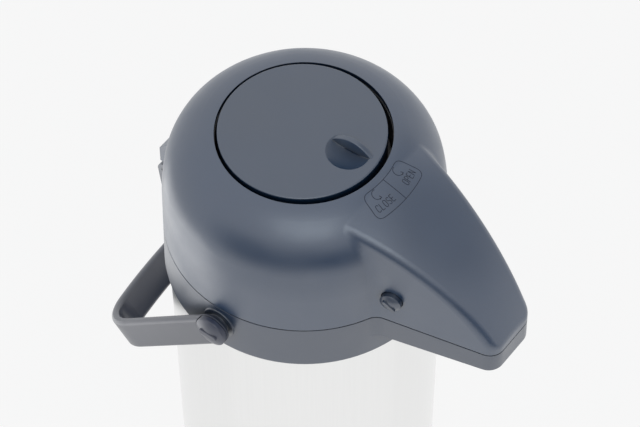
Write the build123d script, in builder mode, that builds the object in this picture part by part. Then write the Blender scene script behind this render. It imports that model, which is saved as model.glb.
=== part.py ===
from build123d import *
from math import atan2, cos, degrees, hypot, radians, sin
import os

# Airpot with a hinged push lid, in millimetres.
# The axis of the pot is Z, the floor is Z = 0 and the spout points along -Y.
# Heights in the head are written as distances above or below the seam of the lid.

os.makedirs("parts", exist_ok=True)

# Fits and clearances
RUN_GAP = 0.3
SLIDE_GAP = 0.5
PIN_GAP = 0.05
TURN_GAP = 0.1
SWING_GAP = 0.7
SEAM_GAP = 0.8
OVERRUN = 1.0

# Overall heights and walls
SEAM_Z = 290.0
SHELL_WALL = 2.5

# Foot ring and base cup
BASE_R = 76.2
FOOT_R_IN = BASE_R - 18.2
FOOT_R_OUT = BASE_R - 6.2
FOOT_HEIGHT = 4.0
FOOT_PROUD = 1.5
FOOT_EDGE = 1.0
BASE_HEIGHT = 14.0
BASE_FLOOR = 7.0
BASE_EDGE = 2.0
SPIGOT_HEIGHT = 8.0
SPIGOT_WALL = 2.5

# Shoulder ring under the seam
SHOULDER_R = 80.0
SHOULDER_FLARE = 0.6
SHOULDER_DROP = 32.0
SHOULDER_EDGE = 1.2
FLOOR_DROP = 13.0
FLOOR_WALL = 2.5
NECK_HOLE_R = 37.0

# Steel casing
CASING_R_BOTTOM = BASE_R - 0.8
CASING_R_TOP = SHOULDER_R - 2.0
CASING_WALL = 0.8
CASING_LAP = 8.0

# Vacuum liner and its jacket
LINER_R = CASING_R_BOTTOM - 13.4
LINER_WALL = 1.2
LINER_FLOOR_Z = 26.0
LINER_CORNER = 18.0
LINER_SHOULDER_R = 14.0
JACKET_GAP = 5.0
JACKET_NECK_DROP = 8.0
NECK_R_IN = 31.0
NECK_DROP = 24.0
NECK_LENGTH = 18.0
PAD_R = 40.0
PAD_R_IN = 16.0

# Collar, gasket and plug in the neck
COLLAR_R = 41.0
COLLAR_SKIRT = 6.0
COLLAR_LEDGE = 2.0
GASKET_THICK = 2.0
GASKET_WIDTH = 4.4
HOLDER_TOP = -11.0
AIR_Y = 12.0
AIR_R = 5.0
AIR_SEAL_WIDTH = 4.5
AIR_SEAL_THICK = 2.7

# Water path
DIP_Y = -14.0
DIP_R = 4.0
DIP_WALL = 0.6
DIP_FLOOR_GAP = 6.0
DIP_LAP = 8.0
PIPE_R = 5.5
PIPE_BORE_R = 4.2
PIPE_Z = -5.0
PIPE_LAP = 12.0
PIPE_BEND = 6.5
ELBOW_R = 7.5
ELBOW_FRONT = 38.0
NOZZLE_Y = 126.0
NOZZLE_R = 8.0
NOZZLE_DROP = 20.0
SEAL_WIDTH = 1.6
SEAL_THICK = 2.5

# Dome of the lid: a drafted side, then three tangent arcs given by radius and turn
DOME_SIDE = 25.0
DOME_DRAFT = 0.4
DOME_ARCS = ((113.6, 10.7), (36.8, 52.3), (43.5, 24.0))
RIM_R = 49.2
RIM_EDGE = 0.6

# Spout in plan and in profile
SPOUT_TIP = 142.7
SPOUT_HALF_ROOT = 48.9
SPOUT_TAPER = 0.22
SPOUT_CORNER = 9.0
SPOUT_START = 44.0
SPOUT_TOP = 76.2
SPOUT_TIP_TOP = 7.0
SPOUT_TOP_R = 141.0
SPOUT_CROWN_DROP = 40.0
SPOUT_RIDGE = 6.0
SPOUT_BLEND = 10.0
TROUGH_ROOT_Y = SHOULDER_R - 4.0
TROUGH_ROOT_DROP = 17.0
TROUGH_TIP_DROP = 13.5

# Push plate that turns on its carrier, set a little behind the middle of the lid's opening
PLATE_R = 46.8
PLATE_Y = 1.0
PLATE_RIM_TOP = 76.3
PLATE_CROWN = 2.2
PLATE_THICK = 3.0
PLATE_SKIRT = 20.0
PLATE_SKIRT_WALL = 2.0
PLATE_EDGE = 0.8
DIMPLE_AT_R = 30.4
DIMPLE_ANGLE = -85.4
DIMPLE_R = 12.6
DIMPLE_DEPTH = 3.4
DIMPLE_WALL = 2.5
FIN_SIDE = 3.5
FIN_AT_R = 29.2
FIN_LENGTH = 28.6
FIN_BULGE = 0.8
FIN_PROUD = 5.3
FIN_THICK = 3.3
FIN_EDGE = 0.6
HUB_R = 9.0
SOCKET_WALL = 3.0
SOCKET_DEPTH = 16.0
PLATE_SCREW_R = 2.5
PLATE_SCREW_HEAD_R = 5.5
PLATE_SCREW_HEAD = 3.0
PLATE_SCREW_GRIP = 2.0

# Push carrier, well and bellows
CARRIER_TOP = 53.0
CARRIER_THICK = 3.0
WELL_WALL = 2.2
WELL_TOP = 71.5
WELL_FLOOR = 2.0
BELLOWS_R = 38.0
BELLOWS_FOLDS = 5
BELLOWS_DEPTH = 6.0
BELLOWS_WALL = 1.2
SPRING_R = 14.0
SPRING_WIRE = 2.0
SPRING_TURNS = 6
VALVE_X = 23.0
VALVE_R = 5.0
VALVE_STEM_R = 1.5
VALVE_THICK = 1.4
VALVE_STEM = 5.5
VALVE_BEAD_R = 2.2
VALVE_BEAD = 1.5

# Inner lid
DECK_LOW = 4.0
DECK_THICK = 2.5
DECK_REACH = 118.0
DECK_SIDE_GAP = 1.0
LID_SCREW_AT_R = SHOULDER_R - 7.0
LID_SCREW_COUNT = 4
LID_SCREW_R = 1.5
LID_SCREW_LENGTH = 12.0
LID_SCREW_HEAD_R = 3.5
LID_SCREW_HEAD = 2.0
LID_POST_R = 4.5
LID_POST_TOP = 40.0

# Lid hinge at the back
HINGE_Y = SHOULDER_R + 3.4
HINGE_RISE = -1.0
HINGE_BARREL_R = 4.9
HINGE_PIN_R = 2.0
EAR_INNER = 12.0
EAR_OUTER = 22.0
EAR_DROP = 23.0
EAR_LOW_Y = HINGE_Y + 2.0
EAR_ROOT_Y = SHOULDER_R - 3.5
HOOD_LOW = 7.3
HOOD_MID = 18.7
HOOD_HIGH = 27.0
HOOD_BACK_Y = SHOULDER_R + 6.0
HOOD_TOP_Y = SHOULDER_R - 0.8
HOOD_ROOT_Y = SHOULDER_R - 3.5
KNUCKLE_GAP = 0.3

# Carrying handle
PIVOT_DROP = 13.5
HANDLE_X = SHOULDER_R + 8.0
HANDLE_THICK = 5.4
HANDLE_WIDTH = 19.5
HANDLE_STRAIGHT = 80.8
HANDLE_CORNER_R = 33.1
HANDLE_CORNER_TURN = 73.9
HANDLE_HANG = 42.8
HANDLE_EDGE = 2.2
BOSS_R = 10.2
BOSS_GAP = 2.0
BOSS_IN_X = SHOULDER_R - 7.0
COLLAR_STEP_R = 6.5
PIVOT_R = 5.0
PIVOT_IN_X = SHOULDER_R - 5.5
PIVOT_SHORT = 1.0
CAP_R = 9.7
CAP_SUNK = 2.9
CAP_PROUD = 2.8
CAP_CROWN = 2.4
CAP_EDGE = 0.7
CAP_BAR_LENGTH = 12.0
CAP_BAR_WIDTH = 3.6
CAP_BAR_PROUD = 0.4
CAP_BAR_EDGE = 0.4

# Release buttons on the two sides of the spout
BUTTON_Y = 82.3
BUTTON_RISE = 21.0
BUTTON_R = 6.2
BUTTON_PROUD = 5.0
BUTTON_CROWN = 2.2
BUTTON_FLANGE_R = 8.0
BUTTON_FLANGE = 1.5
BUTTON_STEM_R = 3.0
BUTTON_STEM = 9.0
BUTTON_BAR_WIDTH = 2.2
BUTTON_BAR_LENGTH = 9.0
BUTTON_BAR_PROUD = 0.5
BUTTON_BAR_TURN = 39.0

# Values worked out from the ones above
CASING_TOP_Z = SEAM_Z - SHOULDER_DROP + CASING_LAP
NECK_TOP_Z = SEAM_Z - NECK_DROP
NECK_R = NECK_R_IN + LINER_WALL
JACKET_R = LINER_R + JACKET_GAP
FLOOR_TOP_Z = SEAM_Z - FLOOR_DROP
FLOOR_LOW_Z = FLOOR_TOP_Z - FLOOR_WALL
GASKET_LOW_Z = NECK_TOP_Z + COLLAR_LEDGE
HOLDER_LOW_Z = GASKET_LOW_Z + GASKET_THICK
HOLDER_TOP_Z = SEAM_Z + HOLDER_TOP
HOLDER_R = NECK_HOLE_R - SLIDE_GAP
PIPE_CENTRE_Z = SEAM_Z + PIPE_Z
DECK_LOW_Z = SEAM_Z + DECK_LOW
DECK_TOP_Z = DECK_LOW_Z + DECK_THICK
WELL_R_IN = RIM_R - RUN_GAP
CARRIER_TOP_Z = SEAM_Z + CARRIER_TOP
CARRIER_LOW_Z = CARRIER_TOP_Z - CARRIER_THICK
BELLOWS_LOW_Z = DECK_TOP_Z + WELL_FLOOR
PLATE_LOW_Z = SEAM_Z + PLATE_RIM_TOP - PLATE_THICK
HUB_TOP_Z = PLATE_LOW_Z - RUN_GAP
DIMPLE_TOP_Z = PLATE_LOW_Z + PLATE_THICK + PLATE_CROWN * (1 - (DIMPLE_AT_R / PLATE_R) ** 2)
HINGE_Z = SEAM_Z + HINGE_RISE
KNUCKLE_CLEAR_R = HINGE_BARREL_R + SWING_GAP
DECK_R = SHOULDER_R - SHELL_WALL - SWING_GAP
PIVOT_Z = SEAM_Z - PIVOT_DROP
SIDE_TURN = degrees(atan2(SPOUT_TAPER, 1.0))
DIMPLE_X = DIMPLE_AT_R * cos(radians(DIMPLE_ANGLE))
DIMPLE_Y = DIMPLE_AT_R * sin(radians(DIMPLE_ANGLE))
FIN_X = FIN_AT_R * cos(radians(DIMPLE_ANGLE)) - FIN_SIDE * sin(radians(DIMPLE_ANGLE))
FIN_Y = FIN_AT_R * sin(radians(DIMPLE_ANGLE)) + FIN_SIDE * cos(radians(DIMPLE_ANGLE))
ARM_IN_X = HANDLE_X - HANDLE_THICK
HANDLE_PLANE = Plane(
    origin=(0, 0, PIVOT_Z),
    x_dir=(1, 0, 0),
    z_dir=(0, sin(radians(HANDLE_HANG)), cos(radians(HANDLE_HANG))),
)


def spout_half_width(y, inset=0.0):
    """Half the spout's width at a distance y in front of the axis."""
    return SPOUT_HALF_ROOT - SPOUT_TAPER * y - inset / cos(radians(SIDE_TURN))


def add_tube(r_out, r_in, z_low, z_high, centre=(0, 0), mode=Mode.ADD):
    """A round tube along Z, or a rod where the inner radius is zero."""
    with BuildSketch(Plane.XY.offset(z_low)) as section:
        with Locations(centre):
            Circle(r_out)
            if r_in > 0:
                Circle(r_in, mode=Mode.SUBTRACT)
    extrude(section.sketch, amount=z_high - z_low, mode=mode)


def add_turned(points, mode=Mode.ADD):
    """A solid turned about Z from a closed outline of (radius, height) points."""
    with BuildSketch(Plane.XZ) as section:
        with BuildLine():
            Polyline(*points, close=True)
        make_face()
    revolve(section.sketch, axis=Axis.Z, mode=mode)


def add_crosswise(points, x_from, x_to, mode=Mode.ADD):
    """A prism along X from a closed outline of (y, z) points."""
    with BuildSketch(Plane.YZ.offset(x_from)) as section:
        with BuildLine():
            Polyline(*points, close=True)
        make_face()
    extrude(section.sketch, amount=x_to - x_from, mode=mode)


def add_crosswise_rod(radius, y, z, x_from, x_to, mode=Mode.ADD):
    """A rod along X."""
    with BuildSketch(Plane.YZ.offset(x_from)) as section:
        with Locations((y, z)):
            Circle(radius)
    extrude(section.sketch, amount=x_to - x_from, mode=mode)


def add_spout_block(inset, z_low, z_high, mode=Mode.ADD):
    """The spout's plan with its round tip, straight up from z_low to z_high."""
    tip = SPOUT_TIP - inset
    root = spout_half_width(0, inset)
    front = spout_half_width(tip, inset)
    with BuildSketch(Plane.XY.offset(z_low)) as plan:
        with BuildLine():
            Polyline((-root, 0), (-front, -tip), (front, -tip), (root, 0), close=True)
        make_face()
        fillet(plan.vertices().group_by(Axis.Y)[0], SPOUT_CORNER - inset)
    extrude(plan.sketch, amount=z_high - z_low, mode=mode)


def crowned_profile(inset):
    """The spout's upper profile swung about a low axis, which crowns its top."""
    low_z = SEAM_Z - SPOUT_CROWN_DROP
    top_z = SEAM_Z + SPOUT_TOP - inset
    tip_z = SEAM_Z + SPOUT_TIP_TOP - inset
    past_tip = SPOUT_TIP + SPOUT_CORNER
    with BuildSketch(Plane.YZ) as profile:
        with BuildLine():
            back = Line((0, low_z), (0, top_z))
            flat = Line(back @ 1, (-SPOUT_START, top_z))
            fall = RadiusArc(flat @ 1, (-SPOUT_TIP, tip_z), -(SPOUT_TOP_R - inset))
            nose = Line(fall @ 1, (-past_tip, tip_z))
            down = Line(nose @ 1, (-past_tip, low_z))
            Line(down @ 1, back @ 0)
        make_face()
    with BuildPart() as crowned:
        revolve(profile.sketch, axis=Axis((0, 0, low_z), (0, 1, 0)))
    return crowned.part


def spout_upper(inset):
    """The upper half of the spout as one solid."""
    with BuildPart() as spout:
        add_spout_block(inset, SEAM_Z + SEAM_GAP, SEAM_Z + SPOUT_TOP)
        add(crowned_profile(inset), mode=Mode.INTERSECT)
        if inset == 0:
            ridge = spout.edges().filter_by(GeomType.BSPLINE)
            nose = spout.edges().filter_by(GeomType.CIRCLE).group_by(Axis.Y)[0]
            fillet(ridge + nose, SPOUT_RIDGE)
    return spout.part


def add_dome(inset):
    """The dome as a full round body, up to the height of the plate's rim."""
    low_z = SEAM_Z + SEAM_GAP
    with BuildSketch(Plane.XZ) as section:
        with BuildLine():
            start = (SHOULDER_R - inset, low_z)
            side = Line(start, (SHOULDER_R - DOME_DRAFT - inset, SEAM_Z + DOME_SIDE))
            end = side @ 1
            heading = 90.0
            for radius, turn in DOME_ARCS:
                tangent = (cos(radians(heading)), sin(radians(heading)))
                end = JernArc(end, tangent, radius - inset, turn) @ 1
                heading += turn
            roof = Line(end, (0, end.Y))
            middle = Line(roof @ 1, (0, low_z))
            Line(middle @ 1, side @ 0)
        make_face()
    revolve(section.sketch, axis=Axis.Z)


def make_foot_ring():
    with BuildPart() as foot_ring:
        add_tube(FOOT_R_OUT, FOOT_R_IN, 0, FOOT_HEIGHT)
        fillet(foot_ring.faces().sort_by(Axis.Z)[0].edges(), FOOT_EDGE)
    foot_ring.part.label = "foot_ring"
    export_step(foot_ring.part, "parts/foot_ring.step")


def make_base():
    spigot_r = CASING_R_BOTTOM - CASING_WALL - RUN_GAP
    outline = (
        (0, FOOT_PROUD),
        (FOOT_R_IN - RUN_GAP, FOOT_PROUD),
        (FOOT_R_IN - RUN_GAP, FOOT_HEIGHT),
        (FOOT_R_OUT + RUN_GAP, FOOT_HEIGHT),
        (FOOT_R_OUT + RUN_GAP, FOOT_PROUD),
        (BASE_R, FOOT_PROUD),
        (BASE_R, BASE_HEIGHT),
        (spigot_r, BASE_HEIGHT),
        (spigot_r, BASE_HEIGHT + SPIGOT_HEIGHT),
        (spigot_r - SPIGOT_WALL, BASE_HEIGHT + SPIGOT_HEIGHT),
        (spigot_r - SPIGOT_WALL, BASE_FLOOR),
        (0, BASE_FLOOR),
    )
    with BuildPart() as base:
        add_turned(outline)
        outer = base.edges().filter_by(GeomType.CIRCLE).filter_by(lambda edge: edge.radius > BASE_R - 0.01)
        fillet(outer.sort_by(Axis.Z)[0], BASE_EDGE)
    base.part.label = "base"
    export_step(base.part, "parts/base.step")


def make_liner_pad():
    with BuildPart() as liner_pad:
        jacket_floor_z = LINER_FLOOR_Z - LINER_WALL - JACKET_GAP - LINER_WALL
        add_tube(PAD_R, PAD_R_IN, BASE_FLOOR, jacket_floor_z)
    liner_pad.part.label = "liner_pad"
    export_step(liner_pad.part, "parts/liner_pad.step")


def make_casing():
    slope = (CASING_R_TOP - CASING_R_BOTTOM) / (CASING_TOP_Z - BASE_HEIGHT)
    outline = (
        (CASING_R_BOTTOM - CASING_WALL, BASE_HEIGHT),
        (CASING_R_BOTTOM, BASE_HEIGHT),
        (CASING_R_BOTTOM + slope * (CASING_TOP_Z - BASE_HEIGHT), CASING_TOP_Z),
        (CASING_R_TOP - CASING_WALL, CASING_TOP_Z),
    )
    with BuildPart() as casing:
        add_turned(outline)
    casing.part.label = "casing"
    export_step(casing.part, "parts/casing.step")


def add_bottle(radius, neck_r, floor_z, top_z, mode=Mode.ADD):
    """A round bottle form with a sloping shoulder, as a full body."""
    neck_low_z = NECK_TOP_Z - NECK_LENGTH
    side_top_z = neck_low_z - (radius - neck_r) / 2
    with BuildSketch(Plane.XZ) as section:
        with BuildLine():
            Polyline(
                (0, floor_z),
                (radius, floor_z),
                (radius, side_top_z),
                (neck_r, neck_low_z),
                (neck_r, top_z),
                (0, top_z),
                close=True,
            )
        make_face()
        low_corner = section.vertices().filter_by(lambda v: v.Y < floor_z + OVERRUN and v.X > OVERRUN)
        fillet(low_corner, LINER_CORNER)
        bend = section.vertices().filter_by(lambda v: abs(v.Y - side_top_z) < OVERRUN)
        fillet(bend, LINER_SHOULDER_R)
    revolve(section.sketch, axis=Axis.Z, mode=mode)


def make_liner():
    with BuildPart() as liner:
        add_bottle(LINER_R, NECK_R, LINER_FLOOR_Z - LINER_WALL, NECK_TOP_Z)
        add_bottle(LINER_R - LINER_WALL, NECK_R_IN, LINER_FLOOR_Z, NECK_TOP_Z + OVERRUN, mode=Mode.SUBTRACT)
    liner.part.label = "liner"
    export_step(liner.part, "parts/liner.step")


def make_liner_jacket():
    floor_z = LINER_FLOOR_Z - LINER_WALL - JACKET_GAP
    neck_r = NECK_R + PIN_GAP
    top_z = NECK_TOP_Z - JACKET_NECK_DROP
    with BuildPart() as liner_jacket:
        add_bottle(JACKET_R + LINER_WALL, neck_r + LINER_WALL, floor_z - LINER_WALL, top_z)
        add_bottle(JACKET_R, neck_r, floor_z, top_z + OVERRUN, mode=Mode.SUBTRACT)
    liner_jacket.part.label = "liner_jacket"
    export_step(liner_jacket.part, "parts/liner_jacket.step")


def make_neck_collar():
    skirt_z = NECK_TOP_Z - COLLAR_SKIRT
    outline = (
        (NECK_R + RUN_GAP, skirt_z),
        (COLLAR_R, skirt_z),
        (COLLAR_R, FLOOR_LOW_Z),
        (NECK_HOLE_R, FLOOR_LOW_Z),
        (NECK_HOLE_R, GASKET_LOW_Z),
        (NECK_R_IN + RUN_GAP, GASKET_LOW_Z),
        (NECK_R_IN + RUN_GAP, NECK_TOP_Z),
        (NECK_R + RUN_GAP, NECK_TOP_Z),
    )
    with BuildPart() as neck_collar:
        add_turned(outline)
    neck_collar.part.label = "neck_collar"
    export_step(neck_collar.part, "parts/neck_collar.step")


def make_neck_gasket():
    with BuildPart() as neck_gasket:
        gasket_r = HOLDER_R - RUN_GAP
        add_tube(gasket_r, gasket_r - GASKET_WIDTH, GASKET_LOW_Z, HOLDER_LOW_Z)
    neck_gasket.part.label = "neck_gasket"
    export_step(neck_gasket.part, "parts/neck_gasket.step")


def make_tube_holder():
    dip_top_z = HOLDER_LOW_Z + DIP_LAP
    water_r = DIP_R - DIP_WALL
    elbow_back_y = DIP_Y + ELBOW_R
    pipe_back_y = -ELBOW_FRONT + PIPE_LAP
    with BuildPart() as tube_holder:
        add_tube(HOLDER_R, 0, HOLDER_LOW_Z, HOLDER_TOP_Z)
        with BuildSketch(Plane.XZ.offset(-elbow_back_y)) as elbow:
            with Locations((0, PIPE_CENTRE_Z)):
                Circle(ELBOW_R)
        extrude(elbow.sketch, amount=ELBOW_FRONT + elbow_back_y)
        add_tube(AIR_R, 0, HOLDER_LOW_Z, HOLDER_TOP_Z, centre=(0, AIR_Y), mode=Mode.SUBTRACT)
        add_tube(DIP_R + PIN_GAP, 0, HOLDER_LOW_Z, dip_top_z, centre=(0, DIP_Y), mode=Mode.SUBTRACT)
        add_tube(water_r, 0, dip_top_z, PIPE_CENTRE_Z, centre=(0, DIP_Y), mode=Mode.SUBTRACT)
        for radius, y_back in ((water_r, DIP_Y), (PIPE_R + PIN_GAP, pipe_back_y)):
            with BuildSketch(Plane.XZ.offset(-y_back)) as bore:
                with Locations((0, PIPE_CENTRE_Z)):
                    Circle(radius)
            extrude(bore.sketch, amount=ELBOW_FRONT + y_back, mode=Mode.SUBTRACT)
    tube_holder.part.label = "tube_holder"
    export_step(tube_holder.part, "parts/tube_holder.step")


def make_dip_tube():
    with BuildPart() as dip_tube:
        low_z = LINER_FLOOR_Z + DIP_FLOOR_GAP
        high_z = HOLDER_LOW_Z + DIP_LAP
        add_tube(DIP_R, DIP_R - DIP_WALL, low_z, high_z, centre=(0, DIP_Y))
    dip_tube.part.label = "dip_tube"
    export_step(dip_tube.part, "parts/dip_tube.step")


def make_spout_pipe():
    start_y = -ELBOW_FRONT + PIPE_LAP
    with BuildPart() as spout_pipe:
        with BuildLine(Plane.YZ) as route:
            along = Line((start_y, PIPE_CENTRE_Z), (-NOZZLE_Y + PIPE_BEND, PIPE_CENTRE_Z))
            bend = TangentArc(along @ 1, (-NOZZLE_Y, PIPE_CENTRE_Z - PIPE_BEND), tangent=along % 1)
            Line(bend @ 1, (-NOZZLE_Y, SEAM_Z - NOZZLE_DROP))
        with BuildSketch(Plane.XZ.offset(-start_y)) as section:
            with Locations((0, PIPE_CENTRE_Z)):
                Circle(PIPE_R)
                Circle(PIPE_BORE_R, mode=Mode.SUBTRACT)
        sweep(section.sketch, path=route.line)
    spout_pipe.part.label = "spout_pipe"
    export_step(spout_pipe.part, "parts/spout_pipe.step")


def make_pipe_seal():
    with BuildPart() as pipe_seal:
        with BuildSketch(Plane.XZ.offset(ELBOW_FRONT)) as section:
            with Locations((0, PIPE_CENTRE_Z)):
                Circle(PIPE_R + SEAL_WIDTH)
                Circle(PIPE_R + PIN_GAP, mode=Mode.SUBTRACT)
        extrude(section.sketch, amount=SEAL_THICK)
    pipe_seal.part.label = "pipe_seal"
    export_step(pipe_seal.part, "parts/pipe_seal.step")


def trough_bottom_z(y):
    """Outer height of the trough's underside at a distance y in front of the axis."""
    share = (y - TROUGH_ROOT_Y) / (SPOUT_TIP - TROUGH_ROOT_Y)
    return SEAM_Z - TROUGH_ROOT_DROP + (TROUGH_ROOT_DROP - TROUGH_TIP_DROP) * share


def make_nozzle():
    low_z = SEAM_Z - NOZZLE_DROP
    floor_z = trough_bottom_z(NOZZLE_Y) + SHELL_WALL
    with BuildPart() as nozzle:
        add_tube(NOZZLE_R, PIPE_R + PIN_GAP, low_z, floor_z, centre=(0, -NOZZLE_Y))
    nozzle.part.label = "nozzle"
    export_step(nozzle.part, "parts/nozzle.step")


def trough_body(inset, back_y):
    """The lower half of the spout as one solid with a gently rising underside."""
    past_tip = SPOUT_TIP + SPOUT_CORNER
    outline = (
        (-back_y, SEAM_Z),
        (-back_y, trough_bottom_z(back_y) + inset),
        (-past_tip, trough_bottom_z(past_tip) + inset),
        (-past_tip, SEAM_Z),
    )
    with BuildPart() as trough:
        add_spout_block(inset, SEAM_Z - SHOULDER_DROP, SEAM_Z)
        add_crosswise(outline, -SPOUT_HALF_ROOT, SPOUT_HALF_ROOT, mode=Mode.INTERSECT)
    return trough.part


def rising_blend_edges(builder):
    """The upright edges where the spout's sides meet the round body under the seam."""
    def is_blend(edge):
        middle = edge @ 0.5
        near_round_body = abs(hypot(middle.X, middle.Y) - SHOULDER_R) < SHOULDER_FLARE
        return near_round_body and middle.Y < -RIM_R and abs((edge % 0.5).Z) > 0.9
    return builder.edges().filter_by(is_blend)


def add_ear(side):
    """One hinge ear on the shoulder, on the side given by its sign."""
    outline = (
        (EAR_ROOT_Y, SEAM_Z - EAR_DROP),
        (EAR_ROOT_Y, SEAM_Z),
        (HINGE_Y, SEAM_Z),
        (HINGE_Y, HINGE_Z),
        (HINGE_Y + HINGE_BARREL_R, HINGE_Z),
        (EAR_LOW_Y, SEAM_Z - EAR_DROP),
    )
    low_x, high_x = sorted((side * EAR_INNER, side * EAR_OUTER))
    add_crosswise(outline, low_x, high_x)
    add_crosswise_rod(HINGE_BARREL_R, HINGE_Y, HINGE_Z, low_x, high_x)


def add_pivot_boss(side):
    """One round boss for the handle's pivot, with the bore for its pin."""
    for radius, gap in ((BOSS_R, BOSS_GAP), (COLLAR_STEP_R, RUN_GAP)):
        low_x, high_x = sorted((side * BOSS_IN_X, side * (ARM_IN_X - gap)))
        add_crosswise_rod(radius, 0, PIVOT_Z, low_x, high_x)
    low_x, high_x = sorted((side * PIVOT_IN_X, side * HANDLE_X))
    add_crosswise_rod(PIVOT_R + PIN_GAP, 0, PIVOT_Z, low_x, high_x, mode=Mode.SUBTRACT)


def make_shoulder():
    bottom_z = SEAM_Z - SHOULDER_DROP
    bottom_r = SHOULDER_R + SHOULDER_FLARE
    lap_r = CASING_R_TOP + RUN_GAP
    pin_hole_r = HINGE_PIN_R + PIN_GAP
    with BuildPart() as shoulder:
        add_turned(((0, bottom_z), (bottom_r, bottom_z), (SHOULDER_R, SEAM_Z), (0, SEAM_Z)))
        fillet(shoulder.faces().sort_by(Axis.Z)[0].edges(), SHOULDER_EDGE)
        add(trough_body(0, TROUGH_ROOT_Y / 2))
        fillet(rising_blend_edges(shoulder), SPOUT_BLEND)
        add_tube(SHOULDER_R - SHELL_WALL, 0, FLOOR_TOP_Z, SEAM_Z, mode=Mode.SUBTRACT)
        add_tube(SHOULDER_R - 2 * SHELL_WALL, 0, bottom_z, FLOOR_LOW_Z, mode=Mode.SUBTRACT)
        add(trough_body(SHELL_WALL, TROUGH_ROOT_Y), mode=Mode.SUBTRACT)
        add_tube(NECK_HOLE_R, 0, FLOOR_LOW_Z, FLOOR_TOP_Z, mode=Mode.SUBTRACT)
        for side in (-1, 1):
            add_pivot_boss(side)
            add_ear(side)
        add_tube(lap_r, 0, bottom_z, CASING_TOP_Z, mode=Mode.SUBTRACT)
        add_crosswise_rod(KNUCKLE_CLEAR_R, HINGE_Y, HINGE_Z, -EAR_INNER, EAR_INNER, mode=Mode.SUBTRACT)
        add_crosswise_rod(pin_hole_r, HINGE_Y, HINGE_Z, -EAR_OUTER, EAR_OUTER, mode=Mode.SUBTRACT)
        hole_low_z = SEAM_Z - NOZZLE_DROP
        add_tube(NOZZLE_R + PIN_GAP, 0, hole_low_z, SEAM_Z, centre=(0, -NOZZLE_Y), mode=Mode.SUBTRACT)
    shoulder.part.label = "shoulder"
    export_step(shoulder.part, "parts/shoulder.step")


def make_hinge_pin():
    half_length = EAR_OUTER - RUN_GAP
    with BuildPart() as hinge_pin:
        add_crosswise_rod(HINGE_PIN_R, HINGE_Y, HINGE_Z, -half_length, half_length)
    hinge_pin.part.label = "hinge_pin"
    export_step(hinge_pin.part, "parts/hinge_pin.step")


def make_pivot_pins():
    with BuildPart() as pivot_pins:
        for side in (-1, 1):
            low_x, high_x = sorted((side * PIVOT_IN_X, side * (HANDLE_X - PIVOT_SHORT)))
            add_crosswise_rod(PIVOT_R, 0, PIVOT_Z, low_x, high_x)
    pivot_pins.part.label = "pivot_pins"
    export_step(pivot_pins.part, "parts/pivot_pins.step")


def make_pivot_caps():
    inner_x = HANDLE_X - CAP_SUNK + RUN_GAP
    rim_x = HANDLE_X + CAP_PROUD - CAP_CROWN
    crown_x = HANDLE_X + CAP_PROUD
    crown_r = (CAP_R ** 2 + CAP_CROWN ** 2) / (2 * CAP_CROWN)
    with BuildPart() as pivot_caps:
        for side in (-1, 1):
            outward = Plane(origin=(0, 0, PIVOT_Z), x_dir=(0, 1, 0), z_dir=(side, 0, 0))
            with BuildSketch(Plane.XY.offset(PIVOT_Z)) as section:
                with BuildLine():
                    back = Line((side * inner_x, 0), (side * inner_x, CAP_R))
                    rim = Line(back @ 1, (side * rim_x, CAP_R))
                    crown = RadiusArc(rim @ 1, (side * crown_x, 0), side * crown_r)
                    Line(crown @ 1, back @ 0)
                make_face()
                fillet(section.vertices().sort_by_distance((side * rim_x, CAP_R))[0], CAP_EDGE)
            revolve(section.sketch, axis=Axis((0, 0, PIVOT_Z), (1, 0, 0)))
            with BuildSketch(outward.offset(crown_x - CAP_CROWN)) as bar:
                SlotOverall(CAP_BAR_LENGTH, CAP_BAR_WIDTH)
            extrude(bar.sketch, amount=CAP_CROWN + CAP_BAR_PROUD)
            ends = pivot_caps.faces().sort_by(Axis.X)
            fillet(ends[-1 if side > 0 else 0].edges(), CAP_BAR_EDGE)
            low_x, high_x = sorted((side * inner_x, side * (HANDLE_X - PIVOT_SHORT)))
            add_crosswise_rod(PIVOT_R + PIN_GAP, 0, PIVOT_Z, low_x, high_x, mode=Mode.SUBTRACT)
    pivot_caps.part.label = "pivot_caps"
    export_step(pivot_caps.part, "parts/pivot_caps.step")


def lid_form(inset):
    """The dome and the spout's upper half as one solid."""
    with BuildPart() as dome:
        add_dome(inset)
    spout = spout_upper(inset)
    with BuildPart() as head:
        add(dome.part)
        add(spout)
        if inset == 0:
            meeting = new_edges(dome.part, spout, combined=head.part)
            fillet(meeting.filter_by(lambda edge: (edge @ 0.5).Y < -SPOUT_START), SPOUT_BLEND)
    return head.part


def button_plane(side):
    """A plane on the spout's side at the button's centre, facing outward."""
    turn = radians(SIDE_TURN)
    return Plane(
        origin=(side * spout_half_width(BUTTON_Y), -BUTTON_Y, SEAM_Z + BUTTON_RISE),
        x_dir=(side * sin(turn), cos(turn), 0),
        z_dir=(side * cos(turn), -sin(turn), 0),
    )


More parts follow.
